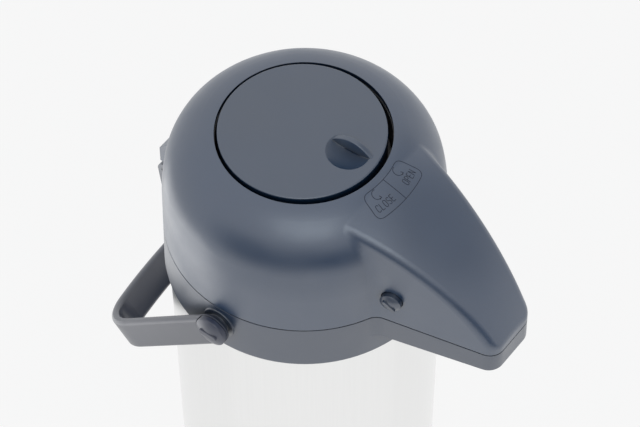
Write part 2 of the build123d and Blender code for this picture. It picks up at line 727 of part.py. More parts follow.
def add_hood():
    """The hood over the hinge and the knuckle that turns on the pin."""
    hood = (
        (HOOD_ROOT_Y, SEAM_Z + HOOD_LOW),
        (HOOD_BACK_Y, SEAM_Z + HOOD_LOW),
        (HOOD_BACK_Y, SEAM_Z + HOOD_MID),
        (HOOD_TOP_Y, SEAM_Z + HOOD_HIGH),
        (HOOD_ROOT_Y, SEAM_Z + HOOD_HIGH),
    )
    web = (
        (SHOULDER_R - SHELL_WALL, SEAM_Z + SEAM_GAP),
        (HINGE_Y, SEAM_Z + SEAM_GAP),
        (HINGE_Y + HINGE_BARREL_R, HINGE_Z),
        (HOOD_BACK_Y, SEAM_Z + HOOD_LOW),
        (SHOULDER_R - SHELL_WALL, SEAM_Z + HOOD_LOW),
    )
    knuckle_x = EAR_INNER - KNUCKLE_GAP
    add_crosswise(hood, -EAR_OUTER, EAR_OUTER)
    add_crosswise(web, -knuckle_x, knuckle_x)
    add_crosswise_rod(HINGE_BARREL_R, HINGE_Y, HINGE_Z, -knuckle_x, knuckle_x)


def lid_screw_places():
    """The places of the screws that hold the inner lid."""
    return PolarLocations(LID_SCREW_AT_R, LID_SCREW_COUNT, start_angle=180 / LID_SCREW_COUNT)


def make_lid_cover():
    knuckle_x = EAR_INNER - KNUCKLE_GAP
    clear_x = EAR_OUTER + KNUCKLE_GAP
    rim_z = SEAM_Z + SPOUT_TOP
    pin_hole_r = HINGE_PIN_R + TURN_GAP
    with BuildPart() as lid_cover:
        add(lid_form(0))
        add(lid_form(SHELL_WALL), mode=Mode.SUBTRACT)
        add_tube(RIM_R, 0, SEAM_Z + DOME_SIDE, rim_z + RIM_EDGE, mode=Mode.SUBTRACT)
        add_hood()
        with BuildSketch(Plane.XY.offset(DECK_TOP_Z)) as posts:
            with lid_screw_places():
                Circle(LID_POST_R)
        extrude(posts.sketch, amount=SEAM_Z + LID_POST_TOP - DECK_TOP_Z)
        with BuildSketch(Plane.XY.offset(DECK_TOP_Z)) as pilots:
            with lid_screw_places():
                Circle(LID_SCREW_R + PIN_GAP)
        extrude(pilots.sketch, amount=LID_SCREW_LENGTH, mode=Mode.SUBTRACT)
        for side in (-1, 1):
            low_x, high_x = sorted((side * knuckle_x, side * clear_x))
            add_crosswise_rod(KNUCKLE_CLEAR_R, HINGE_Y, HINGE_Z, low_x, high_x, mode=Mode.SUBTRACT)
            with BuildSketch(button_plane(side)) as opening:
                Circle(BUTTON_R + RUN_GAP)
            extrude(opening.sketch, amount=SHELL_WALL * 2, both=True, mode=Mode.SUBTRACT)
        add_crosswise_rod(pin_hole_r, HINGE_Y, HINGE_Z, -knuckle_x, knuckle_x, mode=Mode.SUBTRACT)
    lid_cover.part.label = "lid_cover"
    export_step(lid_cover.part, "parts/lid_cover.step")


def make_pump_well():
    well_r = WELL_R_IN + WELL_WALL
    with BuildPart() as pump_well:
        add_tube(well_r, WELL_R_IN, DECK_TOP_Z, SEAM_Z + WELL_TOP)
        add_tube(well_r, 0, DECK_TOP_Z, BELLOWS_LOW_Z)
        add_tube(AIR_R, 0, DECK_TOP_Z, BELLOWS_LOW_Z, centre=(0, AIR_Y), mode=Mode.SUBTRACT)
    pump_well.part.label = "pump_well"
    export_step(pump_well.part, "parts/pump_well.step")


def make_lid_deck():
    boss_r = AIR_R + AIR_SEAL_WIDTH
    seal_top_z = HOLDER_TOP_Z + RUN_GAP + AIR_SEAL_THICK
    side_inset = SHELL_WALL + DECK_SIDE_GAP
    near = spout_half_width(0, side_inset)
    far = spout_half_width(DECK_REACH, side_inset)
    with BuildPart() as lid_deck:
        with BuildSketch(Plane.XY.offset(DECK_LOW_Z)) as plan:
            Circle(DECK_R)
            with BuildLine():
                Polyline((-near, 0), (-far, -DECK_REACH), (far, -DECK_REACH), (near, 0), close=True)
            make_face()
        extrude(plan.sketch, amount=DECK_THICK)
        add_tube(boss_r, 0, seal_top_z, DECK_LOW_Z, centre=(0, AIR_Y))
        add_tube(AIR_R, 0, seal_top_z, DECK_TOP_Z, centre=(0, AIR_Y), mode=Mode.SUBTRACT)
        with BuildSketch(Plane.XY.offset(DECK_LOW_Z)) as screw_holes:
            with lid_screw_places():
                Circle(LID_SCREW_R + PIN_GAP)
        extrude(screw_holes.sketch, amount=DECK_THICK, mode=Mode.SUBTRACT)
    lid_deck.part.label = "lid_deck"
    export_step(lid_deck.part, "parts/lid_deck.step")


def make_air_seal():
    seal_low_z = HOLDER_TOP_Z + RUN_GAP
    with BuildPart() as air_seal:
        add_tube(AIR_R + AIR_SEAL_WIDTH, AIR_R, seal_low_z, seal_low_z + AIR_SEAL_THICK, centre=(0, AIR_Y))
    air_seal.part.label = "air_seal"
    export_step(air_seal.part, "parts/air_seal.step")


def make_lid_screws():
    with BuildPart() as lid_screws:
        with BuildSketch(Plane.XY.offset(DECK_LOW_Z - LID_SCREW_HEAD)) as heads:
            with lid_screw_places():
                Circle(LID_SCREW_HEAD_R)
        extrude(heads.sketch, amount=LID_SCREW_HEAD)
        with BuildSketch(Plane.XY.offset(DECK_LOW_Z)) as shanks:
            with lid_screw_places():
                Circle(LID_SCREW_R)
        extrude(shanks.sketch, amount=LID_SCREW_LENGTH)
    lid_screws.part.label = "lid_screws"
    export_step(lid_screws.part, "parts/lid_screws.step")


def make_bellows():
    step = (CARRIER_LOW_Z - BELLOWS_LOW_Z) / (2 * BELLOWS_FOLDS)
    corners = range(2 * BELLOWS_FOLDS + 1)
    outer = [(BELLOWS_R - BELLOWS_DEPTH * (i % 2), BELLOWS_LOW_Z + i * step) for i in corners]
    inner = [(radius - BELLOWS_WALL, z) for radius, z in reversed(outer)]
    with BuildPart() as bellows:
        add_turned((*outer, *inner))
    bellows.part.label = "bellows"
    export_step(bellows.part, "parts/bellows.step")


def make_bellows_spring():
    low_z = BELLOWS_LOW_Z + SPRING_WIRE / 2
    height = CARRIER_LOW_Z - BELLOWS_LOW_Z - SPRING_WIRE
    with BuildPart() as bellows_spring:
        with BuildLine() as coil:
            Helix(pitch=height / SPRING_TURNS, height=height, radius=SPRING_R, center=(0, 0, low_z))
        with BuildSketch(Plane(origin=coil.line @ 0, z_dir=coil.line % 0)) as wire:
            Circle(SPRING_WIRE / 2)
        sweep(wire.sketch, path=coil.line, is_frenet=True)
    bellows_spring.part.label = "bellows_spring"
    export_step(bellows_spring.part, "parts/bellows_spring.step")


def make_push_carrier():
    valve_hole_r = VALVE_STEM_R + PIN_GAP
    hub = (0, PLATE_Y)
    with BuildPart() as push_carrier:
        add_tube(WELL_R_IN - SLIDE_GAP, 0, CARRIER_LOW_Z, CARRIER_TOP_Z)
        add_tube(HUB_R, 0, CARRIER_TOP_Z, HUB_TOP_Z, centre=hub)
        add_tube(PLATE_SCREW_R + TURN_GAP, 0, CARRIER_LOW_Z, HUB_TOP_Z, centre=hub, mode=Mode.SUBTRACT)
        add_tube(valve_hole_r, 0, CARRIER_LOW_Z, CARRIER_TOP_Z, centre=(VALVE_X, 0), mode=Mode.SUBTRACT)
    push_carrier.part.label = "push_carrier"
    export_step(push_carrier.part, "parts/push_carrier.step")


def make_air_valve():
    with BuildPart() as air_valve:
        add_tube(VALVE_R, 0, CARRIER_LOW_Z - VALVE_THICK, CARRIER_LOW_Z, centre=(VALVE_X, 0))
        add_tube(VALVE_STEM_R, 0, CARRIER_LOW_Z, CARRIER_LOW_Z + VALVE_STEM, centre=(VALVE_X, 0))
        add_tube(VALVE_BEAD_R, 0, CARRIER_TOP_Z, CARRIER_TOP_Z + VALVE_BEAD, centre=(VALVE_X, 0))
    air_valve.part.label = "air_valve"
    export_step(air_valve.part, "parts/air_valve.step")


def blade_plane(z_dir, z):
    """A plane at the blade's middle whose x runs along the blade, away from the axis."""
    return Plane(origin=(FIN_X, FIN_Y, z), x_dir=(DIMPLE_X, DIMPLE_Y, 0), z_dir=z_dir)


def thumb_blade():
    """The upright blade that stands at the straight side of the thumb recess."""
    half = FIN_LENGTH / 2
    near, far = -FIN_THICK / 2, FIN_THICK / 2
    with BuildSketch(blade_plane((0, 0, 1), PLATE_LOW_Z)) as plan:
        with BuildLine():
            near_side = ThreePointArc((-half, near), (0, near + FIN_BULGE), (half, near))
            tip = Line(near_side @ 1, (half, far))
            far_side = ThreePointArc(tip @ 1, (0, far + FIN_BULGE), (-half, far))
            Line(far_side @ 1, near_side @ 0)
        make_face()
    with BuildSketch(blade_plane((DIMPLE_Y, -DIMPLE_X, 0), DIMPLE_TOP_Z)) as outline:
        with BuildLine():
            top = ThreePointArc((-half, -DIMPLE_WALL), (0, FIN_PROUD), (half, -DIMPLE_WALL))
            Line(top @ 1, top @ 0)
        make_face()
    with BuildPart() as blade:
        extrude(plan.sketch, amount=FIN_LENGTH)
        extrude(outline.sketch, amount=FIN_LENGTH, both=True, mode=Mode.INTERSECT)
        fillet(blade.faces().sort_by(Axis.Z)[-1].edges(), FIN_EDGE)
    return blade.part


def thumb_recess():
    """The half dish in front of the blade, cut off straight inside the blade."""
    dish_r = (DIMPLE_R ** 2 + DIMPLE_DEPTH ** 2) / (2 * DIMPLE_DEPTH)
    with BuildPart() as recess:
        with Locations((DIMPLE_X, DIMPLE_Y, DIMPLE_TOP_Z - DIMPLE_DEPTH + dish_r)):
            Sphere(dish_r)
        split(bisect_by=blade_plane((DIMPLE_Y, -DIMPLE_X, 0), DIMPLE_TOP_Z), keep=Keep.TOP)
    return recess.part


def make_push_plate():
    """The plate, drawn about its own axis and then moved to its place."""
    rim_z = PLATE_LOW_Z + PLATE_THICK
    crown_r = (PLATE_R ** 2 + PLATE_CROWN ** 2) / (2 * PLATE_CROWN)
    boss_low_z = DIMPLE_TOP_Z - DIMPLE_DEPTH - DIMPLE_WALL
    recess = thumb_recess()
    blade = thumb_blade()
    with BuildPart() as push_plate:
        with BuildSketch(Plane.XZ) as section:
            with BuildLine():
                under = Line((0, PLATE_LOW_Z), (PLATE_R, PLATE_LOW_Z))
                side = Line(under @ 1, (PLATE_R, rim_z))
                crown = RadiusArc(side @ 1, (0, rim_z + PLATE_CROWN), -crown_r)
                Line(crown @ 1, under @ 0)
            make_face()
        revolve(section.sketch, axis=Axis.Z)
        add_tube(PLATE_R, PLATE_R - PLATE_SKIRT_WALL, PLATE_LOW_Z - PLATE_SKIRT, PLATE_LOW_Z)
        rounds = push_plate.edges().filter_by(GeomType.CIRCLE)
        rim = rounds.filter_by(lambda edge: abs(edge.radius - PLATE_R) < PIN_GAP)
        fillet(rim.sort_by(Axis.Z)[-1], PLATE_EDGE)
        add_tube(HUB_R + TURN_GAP + SOCKET_WALL, HUB_R + TURN_GAP, PLATE_LOW_Z - SOCKET_DEPTH, PLATE_LOW_Z)
        add_tube(DIMPLE_R + DIMPLE_WALL, 0, boss_low_z, PLATE_LOW_Z, centre=(DIMPLE_X, DIMPLE_Y))
        add(recess, mode=Mode.SUBTRACT)
        add(blade)
        add_tube(PLATE_SCREW_R + PIN_GAP, 0, PLATE_LOW_Z, PLATE_LOW_Z + PLATE_SCREW_GRIP, mode=Mode.SUBTRACT)
    placed = push_plate.part.moved(Location((0, PLATE_Y, 0)))
    placed.label = "push_plate"
    export_step(placed, "parts/push_plate.step")


def make_plate_screw():
    head_top_z = CARRIER_LOW_Z - RUN_GAP
    with BuildPart() as plate_screw:
        add_tube(PLATE_SCREW_HEAD_R, 0, head_top_z - PLATE_SCREW_HEAD, head_top_z, centre=(0, PLATE_Y))
        add_tube(PLATE_SCREW_R, 0, head_top_z, PLATE_LOW_Z + PLATE_SCREW_GRIP, centre=(0, PLATE_Y))
    plate_screw.part.label = "plate_screw"
    export_step(plate_screw.part, "parts/plate_screw.step")


def make_release_button(side, name):
    """A round button that slides in through the spout's side."""
    face = button_plane(side)
    behind = face.offset(-SHELL_WALL - RUN_GAP)
    crown_r = (BUTTON_R ** 2 + BUTTON_CROWN ** 2) / (2 * BUTTON_CROWN)
    with BuildPart() as button:
        with BuildSketch(behind) as flange:
            Circle(BUTTON_FLANGE_R)
        extrude(flange.sketch, amount=-BUTTON_FLANGE)
        with BuildSketch(behind) as head:
            Circle(BUTTON_R)
        extrude(head.sketch, amount=SHELL_WALL + RUN_GAP + BUTTON_PROUD)
        with BuildSketch(behind) as stem:
            Circle(BUTTON_STEM_R)
        extrude(stem.sketch, amount=-BUTTON_FLANGE - BUTTON_STEM)
        with Locations(face.offset(BUTTON_PROUD - crown_r).location):
            Sphere(crown_r, mode=Mode.INTERSECT)
        with BuildSketch(face.offset(BUTTON_PROUD - BUTTON_CROWN)) as bar:
            SlotOverall(BUTTON_BAR_LENGTH, BUTTON_BAR_WIDTH, rotation=side * BUTTON_BAR_TURN)
        extrude(bar.sketch, amount=BUTTON_CROWN + BUTTON_BAR_PROUD)
    button.part.label = name
    export_step(button.part, f"parts/{name}.step")


def add_handle_band():
    """The bent strap, drawn flat in the plane it hangs in."""
    turn = radians(HANDLE_CORNER_TURN)
    grip_r = (HANDLE_X - HANDLE_CORNER_R * (1 - cos(turn))) / cos(turn)
    grip_turn = 180 - 2 * HANDLE_CORNER_TURN
    with BuildSketch(HANDLE_PLANE) as band:
        for inset, mode in ((0, Mode.ADD), (HANDLE_THICK, Mode.SUBTRACT)):
            with BuildLine():
                side = Line((HANDLE_X - inset, 0), (HANDLE_X - inset, HANDLE_STRAIGHT))
                corner = JernArc(side @ 1, side % 1, HANDLE_CORNER_R - inset, HANDLE_CORNER_TURN)
                grip = JernArc(corner @ 1, corner % 1, grip_r - inset, grip_turn)
                far_corner = JernArc(grip @ 1, grip % 1, HANDLE_CORNER_R - inset, HANDLE_CORNER_TURN)
                far_side = Line(far_corner @ 1, (-HANDLE_X + inset, 0))
                Line(far_side @ 1, side @ 0)
            make_face(mode=mode)
    extrude(band.sketch, amount=HANDLE_WIDTH / 2, both=True)


def make_handle():
    with BuildPart() as handle:
        add_handle_band()
        for side in (-1, 1):
            low_x, high_x = sorted((side * ARM_IN_X, side * HANDLE_X))
            add_crosswise_rod(HANDLE_WIDTH / 2, 0, PIVOT_Z, low_x, high_x)
        fillet(handle.edges().filter_by(is_strap_edge), HANDLE_EDGE)
        for side in (-1, 1):
            low_x, high_x = sorted((side * ARM_IN_X, side * HANDLE_X))
            add_crosswise_rod(PIVOT_R + TURN_GAP, 0, PIVOT_Z, low_x, high_x, mode=Mode.SUBTRACT)
            low_x, high_x = sorted((side * (HANDLE_X - CAP_SUNK), side * HANDLE_X))
            add_crosswise_rod(CAP_R + RUN_GAP, 0, PIVOT_Z, low_x, high_x, mode=Mode.SUBTRACT)
    handle.part.label = "handle"
    export_step(handle.part, "parts/handle.step")


def is_strap_edge(edge):
    """Whether an edge runs round the strap's outline and not across its thickness."""
    across = edge % 0.5
    return edge.length > HANDLE_THICK + RUN_GAP or abs(across.X) < 0.5


if __name__ == "__main__":
    make_foot_ring()
    make_base()
    make_liner_pad()
    make_casing()
    make_liner()
    make_liner_jacket()
    make_neck_collar()
    make_neck_gasket()
    make_tube_holder()
    make_dip_tube()
    make_spout_pipe()
    make_pipe_seal()
    make_nozzle()
    make_shoulder()
    make_hinge_pin()
    make_pivot_pins()
    make_pivot_caps()
    make_lid_cover()
    make_pump_well()
    make_lid_deck()
    make_air_seal()
    make_lid_screws()
    make_bellows()
    make_bellows_spring()
    make_push_carrier()
    make_air_valve()
    make_push_plate()
    make_plate_screw()
    make_release_button(-1, "button_left")
    make_release_button(1, "button_right")
    make_handle()
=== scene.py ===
import math

import bmesh
import bpy
from mathutils import Matrix, Vector
from mathutils.bvhtree import BVHTree


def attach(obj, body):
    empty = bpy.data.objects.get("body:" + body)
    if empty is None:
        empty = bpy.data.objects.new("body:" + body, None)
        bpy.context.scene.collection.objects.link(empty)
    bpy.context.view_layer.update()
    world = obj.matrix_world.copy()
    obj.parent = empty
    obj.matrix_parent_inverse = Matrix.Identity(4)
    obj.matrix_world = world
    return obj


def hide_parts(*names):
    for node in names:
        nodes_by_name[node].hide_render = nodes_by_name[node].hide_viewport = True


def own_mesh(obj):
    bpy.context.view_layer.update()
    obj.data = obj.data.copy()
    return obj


# Looks of the airpot, in metres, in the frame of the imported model.
# The axis of the pot is Z, the floor is Z = 0 and the spout points along -Y.

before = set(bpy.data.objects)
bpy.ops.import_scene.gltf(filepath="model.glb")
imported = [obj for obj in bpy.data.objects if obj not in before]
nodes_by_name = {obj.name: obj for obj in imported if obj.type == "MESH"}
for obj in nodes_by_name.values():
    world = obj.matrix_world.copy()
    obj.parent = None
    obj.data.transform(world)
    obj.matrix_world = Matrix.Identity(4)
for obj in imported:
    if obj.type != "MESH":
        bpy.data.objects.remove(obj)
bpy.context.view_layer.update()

MM = 0.001

# Camera of the photograph
VIEW_AZIMUTH = -53.0
VIEW_ELEVATION = 53.42
VIEW_ROLL = -0.54
VIEW_DISTANCE = 1.893
VIEW_LENS = 189.06
VIEW_SENSOR = 36.0
VIEW_CLIP_END = 50.0
SEAM_HEIGHT = 0.290
AIM_RIGHT = 0.00838
AIM_UP = 0.00048

# Studio
FLOOR_SIZE = 2.2
FLOOR_WHITE = 0.90
FLOOR_ROUGH = 0.9
FLOOR_SEEN_SHARE = 0.88
FLOOR_GLOSS_GAIN = 0.14
SEEN_WHITE = 0.975
WALL_BEHIND = 0.955
WORLD_LIGHT = 0.62
WORLD_TINT = (0.97, 0.985, 1.0)
HEAD_CENTRE = Vector((0.0, -0.02, 0.32))
# Grey patches of the studio's walls, seen in gloss only:
# azimuth from the camera's, elevation, inner and outer half angle, depth
WALL_PATCHES = (
    (0.0, -2.0, 10.0, 34.0, 0.62),
    (34.0, -9.0, 10.0, 34.0, 0.80),
    (-40.0, 2.0, 8.0, 32.0, 0.70),
    (101.0, 40.0, 12.0, 38.0, 0.42),
)
# Lamps: azimuth from the camera's, elevation, distance, size, power, colour
LAMP_FRONT = (2.0, 58.0, 1.7, 0.95, 3.4, (0.86, 0.95, 1.0))
LAMP_LOW = (-99.0, -46.0, 0.42, 0.40, 0.46, (1.0, 1.0, 1.0))
LAMP_LOW_REACH = ("lid_cover", "shoulder", "handle", "pivot_caps")

# Plastics
PLASTIC_IOR = 1.66
HEAD_GREY = (0.008, 0.034, 0.086)
PLATE_GREY = (0.005, 0.028, 0.072)
SHELL_GREY = (0.012, 0.030, 0.068)
HANDLE_GREY = (0.010, 0.018, 0.044)
CAP_GREY = (0.006, 0.014, 0.045)
INNER_GREY = (0.012, 0.016, 0.026)
DECK_WHITE = (0.72, 0.72, 0.69)
TUBE_WHITE = (0.74, 0.75, 0.74)
INK_GREY = (0.030, 0.038, 0.062)
EDGE_ROUND = 0.6 * MM
EDGE_SHARPEST = 0.80
EDGE_EVEN = 0.99
# Painted shade in gaps and close corners: how far the occlusion looks, and the darkest factor on the base
# colour
RECESS_REACH = 9.0 * MM
RECESS_PAINTED_SHADE = 0.25
DRIFT_SCALE = 14.0
SMUDGE_SCALE = 38.0
WAVE_SCALE = 60.0
WAVE_DEPTH = 0.05 * MM

# Steels: streaks are features per metre along X, Y and Z
CASING_BRIGHT = (0.825, 0.825, 0.82)
CASING_STREAKS = (700.0, 700.0, 7.0)
CASING_ANISOTROPY = 0.85
LINER_BRIGHT = (0.74, 0.73, 0.71)
LINER_STREAKS = (60.0, 60.0, 2500.0)
PIN_BRIGHT = (0.66, 0.65, 0.63)
PIN_STREAKS = (60.0, 2500.0, 2500.0)
SPRING_BRIGHT = (0.62, 0.61, 0.58)
SPRING_STREAKS = (900.0, 900.0, 900.0)

# Rubbers
FOOT_BLACK = (0.035, 0.036, 0.038)
SEAL_WHITE = (0.62, 0.62, 0.60)
BELLOWS_BLACK = (0.045, 0.045, 0.047)
BLOOM_SCALE = 90.0


def turned(azimuth, elevation):
    """The direction from the object towards a place round it, by azimuth and elevation in degrees."""
    a, e = math.radians(azimuth), math.radians(elevation)
    return Vector((math.sin(a) * math.cos(e), -math.cos(a) * math.cos(e), math.sin(e)))


class Recipe:
    """One material's node tree, with short calls for the nodes that the finishes share."""

    def __init__(self, name):
        self.material = bpy.data.materials.new(name)
        self.material.use_nodes = True
        self.nodes = self.material.node_tree.nodes
        self.links = self.material.node_tree.links
        self.shader = self.nodes["Principled BSDF"]
        self.place = self.nodes.new("ShaderNodeTexCoord").outputs["Object"]

    def stretched(self, scale):
        """Object coordinates scaled differently along each axis."""
        mapping = self.nodes.new("ShaderNodeMapping")
        mapping.inputs["Scale"].default_value = scale
        self.links.new(self.place, mapping.inputs["Vector"])
        return mapping.outputs["Vector"]

    def noise(self, scale, detail=2.0, rough=0.5, place=None):
        """A noise field; scale is in features per metre unless the place is already scaled."""
        noise = self.nodes.new("ShaderNodeTexNoise")
        noise.inputs["Scale"].default_value = scale
        noise.inputs["Detail"].default_value = detail
        noise.inputs["Roughness"].default_value = rough
        self.links.new(place or self.place, noise.inputs["Vector"])
        return noise.outputs["Fac"]

    def spread(self, value, low, high, from_low=0.3, from_high=0.7):
        """Maps a field onto a range of numbers."""
        spread = self.nodes.new("ShaderNodeMapRange")
        spread.inputs["From Min"].default_value = from_low
        spread.inputs["From Max"].default_value = from_high
        spread.inputs["To Min"].default_value = low
        spread.inputs["To Max"].default_value = high
        self.links.new(value, spread.inputs["Value"])
        return spread.outputs["Result"]

    def mixed(self, factor, first, second):
        """Two colours, or a colour socket and a colour, mixed by a field."""
        mix = self.nodes.new("ShaderNodeMix")
        mix.data_type = "RGBA"
        self.links.new(factor, mix.inputs["Factor"])
        for name, colour in (("A", first), ("B", second)):
            socket = next(s for s in mix.inputs if s.name == name and s.type == "RGBA")
            if isinstance(colour, bpy.types.NodeSocket):
                self.links.new(colour, socket)
            else:
                socket.default_value = (*colour, 1.0)
        return next(s for s in mix.outputs if s.type == "RGBA")

    def rounded(self, width):
        """Normals that turn round every edge, as on a moulded or turned piece."""
        bevel = self.nodes.new("ShaderNodeBevel")
        bevel.samples = 4
        bevel.inputs["Radius"].default_value = width
        return bevel.outputs["Normal"]

    def edges(self, normal):
        """A field that is near one on convex and concave edges and zero on even surfaces."""
        geometry = self.nodes.new("ShaderNodeNewGeometry")
        dot = self.nodes.new("ShaderNodeVectorMath")
        dot.operation = "DOT_PRODUCT"
        self.links.new(normal, dot.inputs[0])
        self.links.new(geometry.outputs["Normal"], dot.inputs[1])
        return self.spread(dot.outputs["Value"], 1.0, 0.0, EDGE_SHARPEST, EDGE_EVEN)

    def painted_recess_shade(self, reach, darkest):
        """Painted shade: one on open surfaces, falling to the darkest value in gaps and close corners, from
        ambient occlusion.
        """
        shade = self.nodes.new("ShaderNodeAmbientOcclusion")
        shade.samples = 8
        shade.inputs["Distance"].default_value = reach
        return self.spread(shade.outputs["AO"], darkest, 1.0, 0.30, 0.85)

    def bump(self, height, depth, strength=1.0, onto=None):
        """Bump from a field, on top of an earlier bump where one is given."""
        bump = self.nodes.new("ShaderNodeBump")
        bump.inputs["Distance"].default_value = depth
        bump.inputs["Strength"].default_value = strength
        self.links.new(height, bump.inputs["Height"])
        if onto is not None:
            self.links.new(onto, bump.inputs["Normal"])
        return bump.outputs["Normal"]

    def set(self, name, value):
        """A number or colour that is the same all over, on the shader's own socket."""
        self.shader.inputs[name].default_value = value

    def join(self, output, name):
        """A field into one of the shader's sockets."""
        self.links.new(output, self.shader.inputs[name])


def tinted(colour, factor):
    """A colour made darker or paler by a factor."""
    return tuple(channel * factor for channel in colour)


def moulded_plastic(name, colour, rough, grain, depth, wear_and_edge_highlight=0.35, shine=1.0):
    """Moulded plastic: a slight drift of colour, spark-eroded grain, handling marks, paler edges from wear
    and a painted edge highlight, and painted shade in gaps and close corners.
    """
    recipe = Recipe(name)
    drift = recipe.spread(recipe.noise(DRIFT_SCALE, 3.0), 0.0, 1.0)
    even = recipe.mixed(drift, tinted(colour, 0.93), tinted(colour, 1.08))
    fleck = recipe.spread(recipe.noise(1.0 / grain, 2.0), 0.0, 1.0)
    flecked = recipe.mixed(recipe.spread(fleck, 0.0, 0.22, 0.0, 1.0), even, tinted(colour, 1.6))
    rounded = recipe.rounded(EDGE_ROUND)
    # Paler edges: rubbed wear and a painted highlight where the edges catch the light.
    rubbed = recipe.spread(recipe.edges(rounded), 0.0, wear_and_edge_highlight, 0.0, 1.0)
    surface = recipe.mixed(rubbed, flecked, tinted(colour, 1.9))
    # Painted shade: the base colour darkens in gaps and close corners, where shade falls.
    painted_recess_shade = recipe.painted_recess_shade(RECESS_REACH, RECESS_PAINTED_SHADE)
    recipe.join(recipe.mixed(painted_recess_shade, tinted(colour, RECESS_PAINTED_SHADE), surface), "Base Color")
    smudge = recipe.spread(recipe.noise(SMUDGE_SCALE, 4.0, 0.6), rough - 0.04, rough + 0.06)
    recipe.join(smudge, "Roughness")
    recipe.set("Specular IOR Level", shine)
    recipe.set("IOR", PLASTIC_IOR)
    grains = recipe.bump(recipe.noise(1.0 / grain, 3.0), depth, onto=rounded)
    waves = recipe.bump(recipe.noise(WAVE_SCALE, 1.0), WAVE_DEPTH, 0.25, onto=grains)
    recipe.join(waves, "Normal")
    return recipe.material


def satin_steel(name, colour, rough, streaks, depth, anisotropy=0.0):
    """Satin steel, brushed along the axis that has the small scale in streaks."""
    recipe = Recipe(name)
    lines = recipe.noise(1.0, 4.0, 0.65, place=recipe.stretched(streaks))
    shade = recipe.spread(lines, 0.0, 1.0)
    recipe.join(recipe.mixed(shade, tinted(colour, 0.985), tinted(colour, 1.015)), "Base Color")
    recipe.set("Metallic", 1.0)
    if anisotropy:
        recipe.set("Anisotropic", anisotropy)
        tangent = recipe.nodes.new("ShaderNodeTangent")
        tangent.direction_type = "RADIAL"
        tangent.axis = "Z"
        recipe.join(tangent.outputs["Tangent"], "Tangent")
    recipe.join(recipe.spread(lines, rough - 0.02, rough + 0.03), "Roughness")
    recipe.join(recipe.bump(lines, depth, 0.5), "Normal")
    return recipe.material


def soft_rubber(name, colour, rough, grain, depth):
    """Rubber or silicone: matt, with a fine skin and a few paler rubbed places."""
    recipe = Recipe(name)
    bloom = recipe.spread(recipe.noise(BLOOM_SCALE, 4.0, 0.6), 0.0, 1.0)
    recipe.join(recipe.mixed(bloom, tinted(colour, 0.9), tinted(colour, 1.15)), "Base Color")
    recipe.join(recipe.spread(bloom, rough - 0.06, rough + 0.06, 0.0, 1.0), "Roughness")
    recipe.join(recipe.bump(recipe.noise(1.0 / grain, 2.0), depth), "Normal")
    return recipe.material


def make_finishes():
    """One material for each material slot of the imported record."""
    return {
        "head_plastic": moulded_plastic("head_finish", HEAD_GREY, 0.32, 0.55 * MM, 0.020 * MM),
        "plate_plastic": moulded_plastic("plate_finish", PLATE_GREY, 0.32, 0.40 * MM, 0.006 * MM),
        "shoulder_plastic": moulded_plastic("shoulder_finish", SHELL_GREY, 0.32, 0.55 * MM, 0.015 * MM),
        "handle_plastic": moulded_plastic("handle_finish", HANDLE_GREY, 0.32, 0.50 * MM, 0.012 * MM),
        "cap_plastic": moulded_plastic(
            "cap_finish", CAP_GREY, 0.34, 0.45 * MM, 0.010 * MM, wear_and_edge_highlight=0.2, shine=0.75
        ),
        "button_plastic": moulded_plastic("button_finish", SHELL_GREY, 0.32, 0.45 * MM, 0.010 * MM),
        "base_plastic": moulded_plastic("base_finish", SHELL_GREY, 0.46, 0.60 * MM, 0.03 * MM),
        "inner_plastic": moulded_plastic("inner_finish", INNER_GREY, 0.45, 0.50 * MM, 0.02 * MM),
        "deck_plastic": moulded_plastic("deck_finish", DECK_WHITE, 0.38, 0.50 * MM, 0.01 * MM),
        "tube_plastic": moulded_plastic("tube_finish", TUBE_WHITE, 0.32, 0.60 * MM, 0.006 * MM),
        "casing_steel": satin_steel(
            "casing_finish", CASING_BRIGHT, 0.38, CASING_STREAKS, 0.002 * MM, CASING_ANISOTROPY
        ),
        "liner_steel": satin_steel("liner_finish", LINER_BRIGHT, 0.30, LINER_STREAKS, 0.008 * MM),
        "pin_steel": satin_steel("pin_finish", PIN_BRIGHT, 0.25, PIN_STREAKS, 0.006 * MM),
        "spring_steel": satin_steel("spring_finish", SPRING_BRIGHT, 0.22, SPRING_STREAKS, 0.004 * MM),
        "foot_rubber": soft_rubber("foot_finish", FOOT_BLACK, 0.72, 0.7 * MM, 0.05 * MM),
        "seal_silicone": soft_rubber("seal_finish", SEAL_WHITE, 0.45, 0.8 * MM, 0.01 * MM),
        "bellows_rubber": soft_rubber("bellows_finish", BELLOWS_BLACK, 0.60, 0.6 * MM, 0.03 * MM),
    }


finishes = make_finishes()


def dress_nodes():
    """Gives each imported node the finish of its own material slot."""
    for node in nodes_by_name.values():
        for slot in node.material_slots:
            slot.material = finishes[slot.material.name.split(".")[0]]


dress_nodes()

# Marks on the spout's top, laid out round the pot's axis:
# angles run from the spout's middle line, and positive ones lie towards +X.
MARK_LINE = 0.36 * MM
MARK_PROUD = 0.05 * MM
MARK_SUNK = 0.12 * MM
MARK_STEP = 0.4 * MM
PANEL_R_IN = 53.3 * MM
PANEL_R_OUT = 68.8 * MM
PANEL_HALF_ANGLE = 17.4
PANEL_CORNER = 4.2 * MM
WORD_R = 63.4 * MM
LETTER_HEIGHT = 4.0 * MM
LETTER_WIDTH = 1.75 * MM
LETTER_SPACE = 0.85 * MM
OPEN_ANGLE = 10.5
CLOSE_ANGLE = -9.4
ARROW_R = 56.8 * MM
ARROW_SIZE = 2.9 * MM
ARROW_BARB = 1.5 * MM


def arc(centre, radii, start, end, steps=14):
    """Points along an ellipse's arc, from start to end in degrees."""
    turns = [math.radians(start + (end - start) * i / steps) for i in range(steps + 1)]
    return [(centre[0] + radii[0] * math.cos(t), centre[1] + radii[1] * math.sin(t)) for t in turns]


